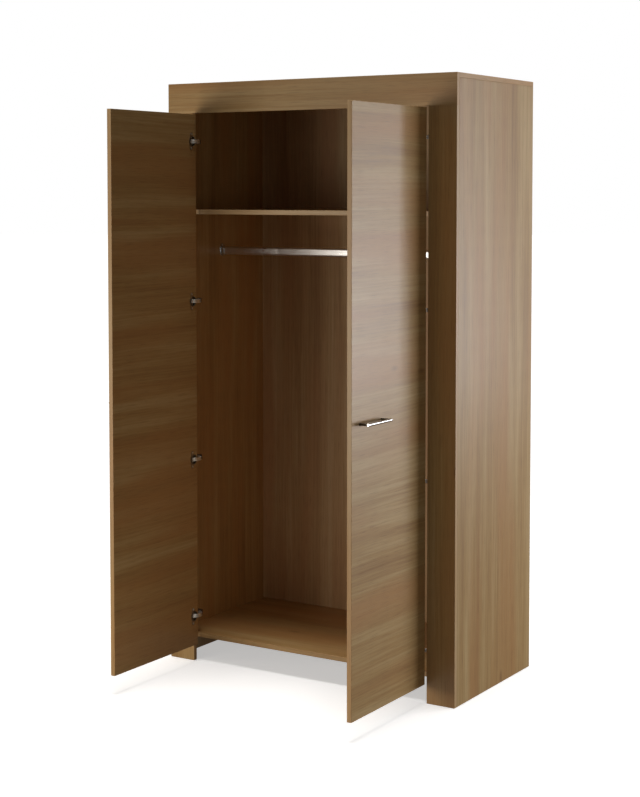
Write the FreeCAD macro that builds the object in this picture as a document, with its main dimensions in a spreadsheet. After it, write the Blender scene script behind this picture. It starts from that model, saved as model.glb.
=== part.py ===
import FreeCAD, Part
import Sketcher
import os
import re

# Two-door wardrobe in wood-decor board. Millimetres, +X to the right, +Y to the back, +Z up.
# The origin is on the floor, in the middle of the cabinet's footprint. Both doors stand open at
# 90 degrees. The left-hand pieces are modelled and the right-hand ones are their mirror twins.

os.makedirs("parts", exist_ok=True)
doc = FreeCAD.newDocument("Wardrobe")
sheet = doc.addObject("Spreadsheet::Sheet", "Dimensions")

DIMENSIONS = [
    # carcass boards
    ("overall_width", 1118),
    ("overall_depth", 560),
    ("overall_height", 2000),
    ("board", 16),
    ("back_board", 3),
    ("strip_wall", 1),
    ("strip_flange", 12),
    ("post_width", 100),
    ("fascia_height", 102),
    ("front_setback", 18),
    ("rear_setback", 1),
    ("bottom_underside", 81),
    ("shelf_underside", 1553),
    ("back_inset", 2),
    # hanging rail
    ("rail_radius", 7.5),
    ("rail_flat", 15),
    ("rail_wall", 1.2),
    ("rail_end_play", 0.5),
    ("rail_height", 1420),
    ("rail_from_front", 292),
    ("support_plate", 2.5),
    ("support_radius", 13),
    ("support_rise", 20),
    ("cradle_length", 13),
    ("cradle_wall", 2.4),
    ("cradle_play", 0.1),
    ("rail_screw_above", 19),
    ("rail_screw_below", 4),
    # doors and the axis that each one turns about
    ("door_gap", 3),
    ("door_bottom", 62),
    ("door_height", 1832),
    ("axis_inside_post", 1.3),
    ("axis_before_front", 2.6),
    # concealed hinges
    ("hinge_low", 165),
    ("hinge_pitch", 545.5),
    ("cup_radius", 17.5),
    ("cup_depth", 12),
    ("cup_wall", 1.4),
    ("cup_lip", 0.5),
    ("cup_from_edge", 21.5),
    ("flange_thick", 1.5),
    ("flange_width", 14),
    ("flange_height", 60),
    ("cup_screw_from_edge", 27.5),
    ("cup_screw_spacing", 48),
    ("lever_arc_right", 0.7),
    ("lever_arc_back", 1.5),
    ("lever_arc_radius", 26.1),
    ("lever_thick", 2.4),
    ("lever_width", 12.4),
    ("lever_start", -61.2),
    ("lever_span", 166.4),
    ("lever_eye_radius", 3.4),
    ("pin_radius", 1.5),
    ("pin_play", 0.05),
    ("arm_inside_post", 56),
    ("arm_length", 62),
    ("arm_lift", 20),
    ("arm_rise", 24),
    ("arm_wall", 1.2),
    ("arm_play", 0.35),
    ("plate_thick", 2),
    ("plate_width", 22),
    ("plate_height", 50),
    ("plate_rib_width", 14),
    ("plate_screw_spacing", 32),
    # bar handles
    ("handle_length", 138),
    ("handle_radius", 5),
    ("handle_standoff", 31),
    ("handle_leg_radius", 4),
    ("handle_leg_inset", 5),
    ("handle_height", 945),
    ("handle_from_free_edge", 111),
    ("handle_screw_radius", 2),
    ("handle_screw_grip", 10),
    ("cap_radius", 7),
    ("cap_thick", 0.5),
    # knock-down fittings
    ("dowel_radius", 4),
    ("dowel_length", 30),
    ("dowel_in_face", 10),
    ("cam_radius", 7.5),
    ("cam_depth", 12.5),
    ("bolt_radius", 3.5),
    ("bolt_reach", 34),
    ("bolt_in_face", 11),
    ("screw_radius", 1.75),
    ("screw_length", 12),
    ("screw_head_radius", 3.5),
    ("screw_head", 1.6),
    ("nail_radius", 0.8),
    ("nail_length", 20),
    ("nail_head_radius", 1.8),
    ("nail_head", 0.6),
    ("nail_above_middle", 2),
]
for row, (alias, value) in enumerate(DIMENSIONS, start=1):
    sheet.set(f"A{row}", alias)
    sheet.set(f"B{row}", str(value))
    sheet.setAlias(f"B{row}", alias)
doc.recompute()
ALIASES = {alias for alias, value in DIMENSIONS}

# Places that several pieces share, as expressions on the sheet.
LEFT = "-overall_width / 2"
FRONT = "-overall_depth / 2"
BACK_FACE = "overall_depth / 2 - strip_wall - back_board"
INSIDE = f"{LEFT} + board"
POST_EDGE = f"{LEFT} + post_width"
AXIS_X = f"{POST_EDGE} + axis_inside_post"
AXIS_Y = f"{FRONT} - axis_before_front"
DOOR_X = f"{AXIS_X} + axis_before_front"
DOOR_HINGE_Y = f"{AXIS_Y} + axis_inside_post - door_gap"
DOOR_WIDTH = "(overall_width - 2 * post_width - 3 * door_gap) / 2"
RAIL_Y = f"{FRONT} + rail_from_front"
HINGES = range(4)

nodes = {}


def cell(text):
    """Turn each alias in an expression into a reference to the sheet."""

    def reference(word):
        known = word.group() in ALIASES
        return "Dimensions." + word.group() if known else word.group()

    return re.sub(r"[a-z]\w*", reference, text)


def put(item, x="0", y="0", z="0"):
    """Bind an object's position to the sheet."""
    for axis, text in zip("xyz", (x, y, z)):
        item.setExpression("Placement.Base." + axis, cell(text))
    return item


def box(name, length, width, height, x, y, z):
    """A board or block, with its size along X, Y and Z and its lowest corner."""
    item = doc.addObject("Part::Box", name)
    for prop, text in (("Length", length), ("Width", width), ("Height", height)):
        item.setExpression(prop, cell(text))
    return put(item, x, y, z)


TURNS = {
    "x": FreeCAD.Rotation(FreeCAD.Vector(0, 1, 0), 90),
    "y": FreeCAD.Rotation(FreeCAD.Vector(1, 0, 0), -90),
    "z": FreeCAD.Rotation(),
}


def rod(name, radius, length, x, y, z, along="z"):
    """A cylinder that starts at x, y, z and runs in the positive direction of one axis."""
    item = doc.addObject("Part::Cylinder", name)
    item.setExpression("Radius", cell(radius))
    item.setExpression("Height", cell(length))
    item.Placement.Rotation = TURNS[along]
    return put(item, x, y, z)


def cut(name, base, tool):
    item = doc.addObject("Part::Cut", name)
    item.Base = base
    item.Tool = tool
    return item


def fuse(name, *shapes):
    item = doc.addObject("Part::MultiFuse", name)
    item.Shapes = list(shapes)
    return item


def group(name, items):
    """Loose solids that share one node."""
    item = doc.addObject("Part::Compound", name)
    item.Links = list(items)
    return item


def twin(name, source):
    """The same piece on the other side of the cabinet's middle plane."""
    item = doc.addObject("Part::Mirroring", name)
    item.Source = source
    item.Normal = FreeCAD.Vector(1, 0, 0)
    return item


def node(name, item):
    """Name a finished sub-part."""
    item.Label = name
    nodes[name] = item
    return item


def node_pair(stem, item, tail=""):
    """Name a left-hand sub-part and add its right-hand twin."""
    node(f"{stem}_left{tail}", item)
    node(f"{stem}_right{tail}", twin(f"{stem}_right{tail}_twin", item))


# ---- knock-down fittings: dowels, and cams with their bolts, for the left half ----

# Each fitting sits at a share of the length of the edge that it is in.
DOWEL_SHARES = (0.3, 0.7)
CAM_SHARES = (0.12, 0.88)
POST_DOWEL_SHARES = (0.1, 0.37, 0.64, 0.91)
FASCIA_DOWEL_SHARES = (0.12, 0.36)
BASE_DOWEL_SHARES = (0.25, 0.75)
board_depth = f"({BACK_FACE} - rear_setback - ({FRONT}) - front_setback)"
left_dowels = []
left_bolts = []
left_cams = []
for stem, underside in (("bottom", "bottom_underside"), ("shelf", "shelf_underside")):
    middle = f"{underside} + board / 2"
    for share in DOWEL_SHARES:
        y = f"{FRONT} + front_setback + {board_depth} * {share}"
        left_dowels.append(rod(f"{stem}_dowel", "dowel_radius", "dowel_length",
                               f"{INSIDE} - dowel_in_face", y, middle, "x"))
    for share in CAM_SHARES:
        y = f"{FRONT} + front_setback + {board_depth} * {share}"
        left_bolts.append(rod(f"{stem}_bolt", "bolt_radius", "bolt_reach + bolt_in_face",
                              f"{INSIDE} - bolt_in_face", y, middle, "x"))
        left_cams.append(rod(f"{stem}_cam", "cam_radius", "cam_depth",
                             f"{INSIDE} + bolt_reach", y, underside, "z"))
for share in DOWEL_SHARES:
    y = f"{FRONT} + board + {board_depth} * {share}"
    left_dowels.append(rod("top_dowel", "dowel_radius", "dowel_length",
                           f"{LEFT} + board / 2", y,
                           "overall_height - board + dowel_in_face - dowel_length"))
for share in CAM_SHARES:
    y = f"{FRONT} + board + {board_depth} * {share}"
    left_bolts.append(rod("top_bolt", "bolt_radius", "bolt_reach + bolt_in_face",
                          f"{LEFT} + board / 2", y,
                          "overall_height - board - bolt_reach"))
    left_cams.append(rod("top_cam", "cam_radius", "cam_depth",
                         f"{INSIDE} - cam_depth", y,
                         "overall_height - board - bolt_reach", "x"))
for share in POST_DOWEL_SHARES:
    left_dowels.append(rod("post_dowel", "dowel_radius", "dowel_length",
                           f"{LEFT} + board / 2", f"{FRONT} + board - dowel_in_face",
                           f"(overall_height - fascia_height) * {share}", "y"))
for share in FASCIA_DOWEL_SHARES:
    left_dowels.append(rod("fascia_dowel", "dowel_radius", "dowel_length",
                           f"{LEFT} + overall_width * {share}", f"{FRONT} + board - dowel_in_face",
                           "overall_height - board / 2", "y"))
for share in BASE_DOWEL_SHARES:
    left_dowels.append(rod("base_rail_dowel", "dowel_radius", "dowel_length",
                           f"{INSIDE} - dowel_in_face", f"{BACK_FACE} - rear_setback - board / 2",
                           f"bottom_underside * {share}", "x"))


def both_sides(name, items):
    half = group(name + "_half", items)
    return group(name, [half, twin(name + "_half_twin", half)])


dowels = node("dowels", both_sides("dowels", left_dowels))
cam_bolts = node("cam_bolts", both_sides("cam_bolts", left_bolts))
cam_blanks = both_sides("cam_blanks", left_cams)
node("cam_discs", cut("cam_discs", cam_blanks, cam_bolts))

# ---- back panel nails, through the thin back into the edges of the boards ----

NAIL_SHARES_UP = (0.06, 0.148, 0.236, 0.324, 0.412, 0.5, 0.588, 0.676, 0.764, 0.852, 0.94)
NAIL_SHARES_ACROSS = (0.1, 0.23, 0.36, 0.47)
NAIL_SHARES_IN_SHELF = (0.16, 0.36)
left_nails = []
nail_places = []
for share in NAIL_SHARES_UP:
    nail_places.append((f"{LEFT} + board / 2", f"overall_height * {share}"))
for share in NAIL_SHARES_ACROSS:
    x = f"{LEFT} + overall_width * {share}"
    nail_places.append((x, "overall_height - board / 2"))
    nail_places.append((x, "bottom_underside + board / 2 + nail_above_middle"))
for share in NAIL_SHARES_IN_SHELF:
    x = f"{LEFT} + overall_width * {share}"
    nail_places.append((x, "shelf_underside + board / 2 + nail_above_middle"))
for x, z in nail_places:
    shank = rod("nail_shank", "nail_radius", "nail_length",
                x, f"{BACK_FACE} + back_board - nail_length", z, "y")
    head = rod("nail_head", "nail_head_radius", "nail_head", x, f"{BACK_FACE} + back_board", z, "y")
    left_nails.append(fuse("nail", shank, head))
back_nails = node("back_nails", both_sides("back_nails", left_nails))


# ---- wood screws: a shank with a flat round head ----

def wood_screw(name, x, y, z, along, sign):
    """A screw whose head rests at x, y, z. sign says which way along the axis the shank runs."""
    place = {"x": x, "y": y, "z": z}
    start = dict(place)
    if sign < 0:
        start[along] = f"{place[along]} - screw_length"
    shank = rod(name + "_shank", "screw_radius", "screw_length",
                start["x"], start["y"], start["z"], along)
    start = dict(place)
    if sign > 0:
        start[along] = f"{place[along]} - screw_head"
    head = rod(name + "_head", "screw_head_radius", "screw_head",
               start["x"], start["y"], start["z"], along)
    return fuse(name, shank, head)


plate_screws = []
for hinge in HINGES:
    for side in (-1, 1):
        z = f"hinge_low + {hinge} * hinge_pitch + {side} * plate_screw_spacing / 2"
        x = f"{POST_EDGE} - arm_inside_post + plate_width / 2"
        plate_screws.append(wood_screw("plate_screw", x, f"{FRONT} + board + plate_thick", z, "y", -1))
hinge_plate_screws = node("hinge_plate_screws", both_sides("hinge_plate_screws", plate_screws))

support_screws = [
    wood_screw("rail_screw", f"{INSIDE} + support_plate", RAIL_Y, f"rail_height + {offset}", "x", -1)
    for offset in ("rail_screw_above", "-rail_screw_below")
]
rail_screws = node("rail_screws", both_sides("rail_screws", support_screws))

# ---- carcass boards ----

joint_hardware = group("joint_hardware", [dowels, cam_bolts, cam_blanks])

side_blank = box("side_blank", "board", f"{BACK_FACE} - ({FRONT}) - board", "overall_height - board",
                 LEFT, f"{FRONT} + board", "0")
side_holes = group("side_holes", [joint_hardware, back_nails, rail_screws])
node_pair("side_panel", cut("side_panel", side_blank, side_holes))

top_blank = box("top_blank", "overall_width", f"{BACK_FACE} - ({FRONT}) - board", "board",
                LEFT, f"{FRONT} + board", "overall_height - board")
node("top_panel", cut("top_panel", top_blank, group("top_holes", [joint_hardware, back_nails])))

for stem, underside in (("bottom_panel", "bottom_underside"), ("shelf", "shelf_underside")):
    blank = box(stem + "_blank", "overall_width - 2 * board", board_depth, "board",
                INSIDE, f"{FRONT} + front_setback", underside)
    node(stem, cut(stem, blank, group(stem + "_holes", [joint_hardware, back_nails])))

rail_blank = box("base_rail_blank", "overall_width - 2 * board", "board", "bottom_underside",
                 INSIDE, f"{BACK_FACE} - rear_setback - board", "0")
node("base_rail", cut("base_rail", rail_blank, dowels))

post_blank = box("post_blank", "post_width", "board", "overall_height - fascia_height",
                 LEFT, FRONT, "0")
node_pair("front_post", cut("front_post", post_blank, group("post_holes", [dowels, hinge_plate_screws])))

fascia_blank = box("fascia_blank", "overall_width", "board", "fascia_height",
                   LEFT, FRONT, "overall_height - fascia_height")
node("fascia", cut("fascia", fascia_blank, dowels))

# The thin back is two sheets that meet in an H-shaped strip on the middle line.
back_low = "bottom_underside + back_inset"
back_high = "overall_height - back_inset"
sheet_blank = box("back_blank", "overall_width / 2 - back_inset - strip_wall / 2", "back_board",
                  f"{back_high} - ({back_low})",
                  f"{LEFT} + back_inset", BACK_FACE, back_low)
node_pair("back_panel", cut("back_panel", sheet_blank, back_nails))

strip_low = "bottom_underside + board"
strip_run = "overall_height - 2 * board - bottom_underside"
inner_flange = box("inner_flange", "2 * strip_flange", "strip_wall", strip_run,
                   "-strip_flange", f"{BACK_FACE} - strip_wall", strip_low)
outer_flange = box("outer_flange", "2 * strip_flange", "strip_wall", strip_run,
                   "-strip_flange", f"{BACK_FACE} + back_board", strip_low)
web = box("web", "strip_wall", "back_board", strip_run, "-strip_wall / 2", BACK_FACE, strip_low)
node("back_joint_strip", fuse("back_joint_strip", inner_flange, outer_flange, web))

# ---- hanging rail and its end supports ----

rail_start = f"{INSIDE} + support_plate + rail_end_play"
rail_run = f"-2 * ({rail_start})"
RAIL_LOW = "rail_height - rail_flat / 2"


def oval_bar(name, radius):
    """An upright oval along the whole rail: two half rounds with a flat run between them."""
    lower = rod(name + "_lower", radius, rail_run, rail_start, RAIL_Y, RAIL_LOW, "x")
    middle = box(name + "_middle", rail_run, f"2 * ({radius})", "rail_flat",
                 rail_start, f"{RAIL_Y} - ({radius})", RAIL_LOW)
    upper = rod(name + "_upper", radius, rail_run,
                rail_start, RAIL_Y, "rail_height + rail_flat / 2", "x")
    return fuse(name, lower, middle, upper)


rail_outside = oval_bar("rail_outside", "rail_radius")
rail_inside = oval_bar("rail_inside", "rail_radius - rail_wall")
node("hanging_rail", cut("hanging_rail", rail_outside, rail_inside))


def slot_block(name, radius, rise, length, x):
    """A block along X, half round about the rail's lower rounding and straight above it."""
    lower = rod(name + "_lower", radius, length, x, RAIL_Y, RAIL_LOW, "x")
    upper = box(name + "_upper", length, f"2 * ({radius})", rise,
                x, f"{RAIL_Y} - ({radius})", RAIL_LOW)
    return fuse(name, lower, upper)


support_base = slot_block("support_base", "support_radius", "support_rise", "support_plate", INSIDE)
support_top = rod("support_top", "support_radius", "support_plate",
                  INSIDE, RAIL_Y, f"{RAIL_LOW} + support_rise", "x")
cradle_outer = slot_block("cradle_outer", "rail_radius + cradle_play + cradle_wall", "rail_flat",
                          "support_plate + cradle_length", INSIDE)
cradle_hollow = slot_block("cradle_hollow", "rail_radius + cradle_play", "2 * rail_flat",
                           "2 * cradle_length", f"{INSIDE} + support_plate")
support_blank = fuse("support_blank", support_base, support_top, cradle_outer)
support_body = cut("support_body", support_blank, cradle_hollow)
node_pair("rail_support", cut("rail_support", support_body, rail_screws))

# ---- doors, standing open: length along Y, cups in the face that looks along +X ----


def board_sketch(body, name, depth="0"):
    """A sketch on the body's own YZ plane, moved along +X by depth."""
    plane = next(p for p in body.Origin.OriginFeatures if p.Role == "YZ_Plane")
    sketch = body.newObject("Sketcher::SketchObject", name)
    sketch.AttachmentSupport = [(plane, "")]
    sketch.MapMode = "FlatFace"
    sketch.setExpression("AttachmentOffset.Base.z", cell(depth))
    return sketch


def rectangle(sketch, width, height):
    """Draw a rectangle from the sketch's origin, with sides that follow the sheet."""
    corners = [FreeCAD.Vector(x, y, 0) for x, y in ((0, 0), (10, 0), (10, 10), (0, 10))]
    for a, b in zip(corners, corners[1:] + corners[:1]):
        sketch.addGeometry(Part.LineSegment(a, b), False)
    for edge, kind in enumerate(("Horizontal", "Vertical", "Horizontal", "Vertical")):
        sketch.addConstraint(Sketcher.Constraint("Coincident", edge, 2, (edge + 1) % 4, 1))
        sketch.addConstraint(Sketcher.Constraint(kind, edge))
    sketch.addConstraint(Sketcher.Constraint("Coincident", 0, 1, -1, 1))
    for name, kind, edge, text in (("width", "DistanceX", 0, width), ("height", "DistanceY", 1, height)):
        index = sketch.addConstraint(Sketcher.Constraint(kind, edge, 1, edge, 2, 10.0))
        sketch.renameConstraint(index, name)
        sketch.setExpression("Constraints." + name, cell(text))


def circle(sketch, name, x, y, radius):
    """Draw a circle whose centre and radius follow the sheet."""
    ring = Part.Circle(FreeCAD.Vector(5, 5, 0), FreeCAD.Vector(0, 0, 1), 1)
    index = sketch.addGeometry(ring, False)
    sizes = [
        ("x", Sketcher.Constraint("DistanceX", -1, 1, index, 3, 5.0), x),
        ("y", Sketcher.Constraint("DistanceY", -1, 1, index, 3, 5.0), y),
        ("radius", Sketcher.Constraint("Radius", index, 1.0), radius),
    ]
    for what, constraint, text in sizes:
        number = sketch.addConstraint(constraint)
        sketch.renameConstraint(number, f"{name}_{what}")
        sketch.setExpression(f"Constraints.{name}_{what}", cell(text))


def pocket(body, sketch, name, depth):
    hole = body.newObject("PartDesign::Pocket", name)
    hole.Profile = sketch
    hole.setExpression("Length", cell(depth))
    return hole


LEG_SPREAD = "(handle_length / 2 - handle_leg_inset)"

door = doc.addObject("PartDesign::Body", "door")
panel_sketch = board_sketch(door, "panel_sketch")
rectangle(panel_sketch, DOOR_WIDTH, "door_height")
panel = door.newObject("PartDesign::Pad", "panel")
panel.Profile = panel_sketch
panel.setExpression("Length", cell("board"))
doc.recompute()

leg_sketch = board_sketch(door, "leg_sketch", "board")
for name, sign in (("near", "-"), ("far", "+")):
    circle(leg_sketch, name, f"handle_from_free_edge {sign} {LEG_SPREAD}",
           "handle_height - door_bottom", "handle_screw_radius")
pocket(door, leg_sketch, "leg_holes", "board")

recess_sketch = board_sketch(door, "recess_sketch", "board")
for name, sign in (("near", "-"), ("far", "+")):
    circle(recess_sketch, name, f"handle_from_free_edge {sign} {LEG_SPREAD}",
           "handle_height - door_bottom", "2 * handle_screw_radius")
pocket(door, recess_sketch, "head_recesses", "screw_head")

cup_sketch = board_sketch(door, "cup_sketch", "board")
circle(cup_sketch, "cup", f"{DOOR_WIDTH} - cup_from_edge", "hinge_low - door_bottom", "cup_radius")
cup_bore = pocket(door, cup_sketch, "cup_bore", "cup_depth")

pilot_sketch = board_sketch(door, "pilot_sketch", "board")
for name, sign in (("lower", "-"), ("upper", "+")):
    circle(pilot_sketch, name, f"{DOOR_WIDTH} - cup_screw_from_edge",
           f"hinge_low - door_bottom {sign} cup_screw_spacing / 2", "screw_radius")
pilots = pocket(door, pilot_sketch, "pilots", "screw_length - flange_thick")
doc.recompute()

hinge_row = door.newObject("PartDesign::LinearPattern", "hinge_row")
hinge_row.Originals = [cup_bore, pilots]
hinge_row.Direction = (pilot_sketch, ["V_Axis"])
hinge_row.setExpression("Length", cell(f"{len(HINGES) - 1} * hinge_pitch"))
hinge_row.Occurrences = len(HINGES)
door.Tip = hinge_row
put(door, DOOR_X, f"{DOOR_HINGE_Y} - {DOOR_WIDTH}", "door_bottom")
node_pair("door", door)

# ---- concealed hinges: cup and pin on the door, lever between, arm and plate behind the post ----

DOOR_BACK = f"{DOOR_X} + board"
CUP_Y = f"{DOOR_HINGE_Y} - cup_from_edge"
CUP_SCREW_Y = f"{DOOR_HINGE_Y} - cup_screw_from_edge"
ARC_X = f"{AXIS_X} + lever_arc_right"
ARC_Y = f"{AXIS_Y} + lever_arc_back"
PIN_X = f"{ARC_X} + lever_arc_radius * cos(lever_start)"
PIN_Y = f"{ARC_Y} + lever_arc_radius * sin(lever_start)"
ARM_X = f"{POST_EDGE} - arm_inside_post"
PLATE_Y = f"{FRONT} + board"


def hinge_height(hinge):
    return f"hinge_low + {hinge} * hinge_pitch"


cup_screws = []
cup_pins = []
for hinge in HINGES:
    for side in (-1, 1):
        z = f"{hinge_height(hinge)} + {side} * cup_screw_spacing / 2"
        cup_screws.append(wood_screw("cup_screw", f"{DOOR_BACK} + flange_thick",
                                     CUP_SCREW_Y, z, "x", -1))
    cup_pins.append(rod("cup_pin", "pin_radius", "2 * cup_radius - cup_wall",
                        PIN_X, PIN_Y, f"{hinge_height(hinge)} - cup_radius + cup_wall / 2"))
cup_screw_group = group("cup_screws", cup_screws)
cup_pin_group = group("cup_pins", cup_pins)
node_pair("hinge_cup_screws", cup_screw_group)
node_pair("hinge_cup_pins", cup_pin_group)

for hinge in HINGES:
    z = hinge_height(hinge)
    bowl = rod("bowl", "cup_radius", "cup_depth", f"{DOOR_BACK} - cup_depth", CUP_Y, z, "x")
    rim = rod("rim", "cup_radius + cup_lip", "flange_thick", DOOR_BACK, CUP_Y, z, "x")
    wings = box("wings", "flange_thick", "flange_width", "flange_height",
                DOOR_BACK, f"{CUP_SCREW_Y} - flange_width / 2", f"{z} - flange_height / 2")
    hollow = rod("hollow", "cup_radius - cup_wall", "cup_depth + flange_thick",
                 f"{DOOR_BACK} - cup_depth + cup_wall", CUP_Y, z, "x")
    fixings = group("cup_fixings", [cup_screw_group, cup_pin_group])
    cup = cut("cup", cut("cup_body", fuse("cup_blank", bowl, rim, wings), hollow), fixings)
    node_pair("hinge_cup", cup, f"_{hinge + 1}")

levers = []
for hinge in HINGES:
    z = f"{hinge_height(hinge)} - lever_width / 2"
    bend = rod("bend", "lever_arc_radius + lever_thick / 2", "lever_width", ARC_X, ARC_Y, z)
    bend.setExpression("Angle", cell("lever_span"))
    bend.setExpression("Placement.Rotation.Angle", cell("lever_start"))
    core = rod("core", "lever_arc_radius - lever_thick / 2", "lever_width", ARC_X, ARC_Y, z)
    eye = rod("eye", "lever_eye_radius", "lever_width", PIN_X, PIN_Y, z)
    bore = rod("bore", "pin_radius + pin_play", "lever_width", PIN_X, PIN_Y, z)
    levers.append(cut("lever", fuse("lever_blank", cut("lever_bend", bend, core), eye), bore))
node_pair("hinge_levers", group("levers", levers))

channel_height = "lever_width + 2 * arm_play"
for hinge in HINGES:
    z = hinge_height(hinge)
    outside = box("arm_outside", "arm_length", "arm_rise", f"{channel_height} + 2 * arm_wall",
                  ARM_X, f"{FRONT} + arm_lift", f"{z} - ({channel_height}) / 2 - arm_wall")
    inside = box("arm_inside", "arm_length", "arm_rise - arm_wall", channel_height,
                 f"{ARM_X} + arm_wall", f"{FRONT} + arm_lift", f"{z} - ({channel_height}) / 2")
    node_pair("hinge_arm", cut("arm", outside, inside), f"_{hinge + 1}")

plates = []
for hinge in HINGES:
    z = hinge_height(hinge)
    plate = box("plate", "plate_width", "plate_thick", "plate_height",
                ARM_X, PLATE_Y, f"{z} - plate_height / 2")
    rib = box("plate_rib", "plate_rib_width", "arm_rise / 2", channel_height,
              f"{ARM_X} + arm_wall", f"{PLATE_Y} + plate_thick", f"{z} - ({channel_height}) / 2")
    plates.append(fuse("mounting_plate", plate, rib))
node_pair("hinge_plates", cut("hinge_plates", group("plates", plates), hinge_plate_screws))

# ---- bar handles on the outer faces, on two legs held by sunk screws under decor caps ----

HANDLE_Y = f"{DOOR_HINGE_Y} - {DOOR_WIDTH} + handle_from_free_edge"
BAR_X = f"{DOOR_X} - handle_standoff"
bar_rod = rod("bar_rod", "handle_radius", "handle_length",
              BAR_X, f"{HANDLE_Y} - handle_length / 2", "handle_height", "y")
BAR_CHAMFER = 0.8
BAR_END_EDGES = (1, 3)
bar = doc.addObject("Part::Chamfer", "bar")
bar.Base = bar_rod
bar.Edges = [(edge, BAR_CHAMFER, BAR_CHAMFER) for edge in BAR_END_EDGES]
node_pair("handle_bar", bar)

legs = []
leg_screws = []
caps = []
for side in ("-", "+"):
    y = f"{HANDLE_Y} {side} {LEG_SPREAD}"
    legs.append(rod("leg", "handle_leg_radius", "handle_standoff", BAR_X, y, "handle_height", "x"))
    thread = rod("thread", "handle_screw_radius", "handle_screw_grip + board",
                 f"{DOOR_X} - handle_screw_grip", y, "handle_height", "x")
    head = rod("head", "2 * handle_screw_radius", "screw_head",
               f"{DOOR_BACK} - screw_head", y, "handle_height", "x")
    leg_screws.append(fuse("leg_screw", thread, head))
    caps.append(rod("cap", "cap_radius", "cap_thick", DOOR_BACK, y, "handle_height", "x"))
leg_screw_group = group("leg_screws", leg_screws)
node_pair("handle_screws", leg_screw_group)
node_pair("handle_screw_caps", group("caps", caps))
leg_blank = cut("leg_blank", group("legs", legs), bar_rod)
node_pair("handle_legs", cut("handle_legs", leg_blank, leg_screw_group))

# ---- check and write ----

doc.recompute()
for item in doc.Objects:
    if {"Invalid", "Error"} & set(item.State):
        raise RuntimeError(f"{item.Name} ({item.Label}) failed: {item.State}")
for name, item in nodes.items():
    shape = item.Shape
    if shape.isNull() or not shape.isValid() or not shape.Solids:
        raise RuntimeError(f"{name} has no valid shape")
    shape.exportStep(f"parts/{name}.step")
    print(f"{name}: {len(shape.Solids)} solids, {shape.Volume / 1000:.1f} cm3")
print(len(nodes), "nodes")
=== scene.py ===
import math

import bmesh
import bpy
import numpy as np
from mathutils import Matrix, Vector


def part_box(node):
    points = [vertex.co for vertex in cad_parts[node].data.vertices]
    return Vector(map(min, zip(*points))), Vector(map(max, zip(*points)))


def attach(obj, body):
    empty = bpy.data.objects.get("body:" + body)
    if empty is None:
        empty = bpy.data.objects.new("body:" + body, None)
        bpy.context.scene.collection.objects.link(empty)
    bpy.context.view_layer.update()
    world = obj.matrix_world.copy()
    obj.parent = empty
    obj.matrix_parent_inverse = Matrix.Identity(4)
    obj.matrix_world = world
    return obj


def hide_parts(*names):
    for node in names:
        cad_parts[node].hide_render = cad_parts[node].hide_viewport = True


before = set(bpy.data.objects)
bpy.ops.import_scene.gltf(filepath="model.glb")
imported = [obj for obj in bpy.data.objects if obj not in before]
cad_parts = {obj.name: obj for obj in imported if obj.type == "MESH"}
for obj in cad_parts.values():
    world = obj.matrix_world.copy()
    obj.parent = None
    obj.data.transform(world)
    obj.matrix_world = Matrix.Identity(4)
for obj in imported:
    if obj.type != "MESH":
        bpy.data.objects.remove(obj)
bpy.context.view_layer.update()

# ---- Camera ----
# A long lens from the right-hand front at eye height, slightly tilted down, with a small lens
# shift so that the uprights stay nearly parallel.
camera_data = bpy.data.cameras.new("camera")
camera_data.sensor_width = 36
camera_data.lens = 74.59
camera_data.shift_y = -0.14
camera_data.clip_end = 200
CAMERA_TILT = 0.0566
CAMERA_TURN = 0.5601
camera = bpy.data.objects.new("camera", camera_data)
camera.location = (2.9252, -4.8517, 1.6248)
camera.rotation_euler = (math.pi / 2 - CAMERA_TILT, 0, CAMERA_TURN)
bpy.context.scene.collection.objects.link(camera)
bpy.context.scene.camera = camera
bpy.context.scene.view_settings.view_transform = "Standard"

# ---- Floor ----
# A pale seamless studio floor: matt opal acrylic over a dim light table, faintly mottled, so that
# shadows stay light. It is one disc of rings that meets the pale background at the horizon.


def linear(hex_colour):
    """An sRGB hex colour as the linear red, green, blue and alpha that a shader takes."""
    srgb = np.array([int(hex_colour[at:at + 2], 16) for at in (1, 3, 5)]) / 255
    return (*np.where(srgb <= 0.04045, srgb / 12.92, ((srgb + 0.055) / 1.055) ** 2.4), 1.0)


def add(tree, kind, settings=None, inputs=None):
    """Add one node: its properties or ramp stops, and the values or sockets for its inputs."""
    made = tree.nodes.new(kind)
    for name, value in (settings or {}).items():
        if name != "stops":
            setattr(made, name, value)
            continue
        ramp = made.color_ramp.elements
        for extra in range(len(value) - len(ramp)):
            ramp.new(0.5)
        for element, (place, colour) in zip(ramp, value):
            element.position = place
            element.color = colour if isinstance(colour, tuple) else (colour, colour, colour, 1)
    for name, value in (inputs or {}).items():
        if isinstance(value, bpy.types.NodeSocket):
            tree.links.new(value, made.inputs[name])
        else:
            made.inputs[name].default_value = value
    return made


def finish_of(name, settings):
    """A new material with these constants set on its shader, as (material, tree, shader)."""
    material = bpy.data.materials.new(name)
    material.use_nodes = True
    shader = material.node_tree.nodes["Principled BSDF"]
    for socket, value in settings.items():
        shader.inputs[socket].default_value = value
    return material, material.node_tree, shader


floor_acrylic, tree, shader = finish_of(
    "opal_acrylic_floor_matt",
    {"Roughness": 0.9, "Specular IOR Level": 0.2,
     "Emission Color": linear("#FFFFFF"), "Emission Strength": 0.45})
coordinates = add(tree, "ShaderNodeTexCoord").outputs["Object"]
mottle = add(tree, "ShaderNodeTexNoise",
             inputs={"Vector": coordinates, "Scale": 3.0, "Detail": 4.0})
tint = add(tree, "ShaderNodeValToRGB",
           {"stops": [(0.3, linear("#EFEEEC")), (0.7, linear("#F4F3F1"))]},
           {"Fac": mottle.outputs["Fac"]})
tree.links.new(tint.outputs["Color"], shader.inputs["Base Color"])

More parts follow.
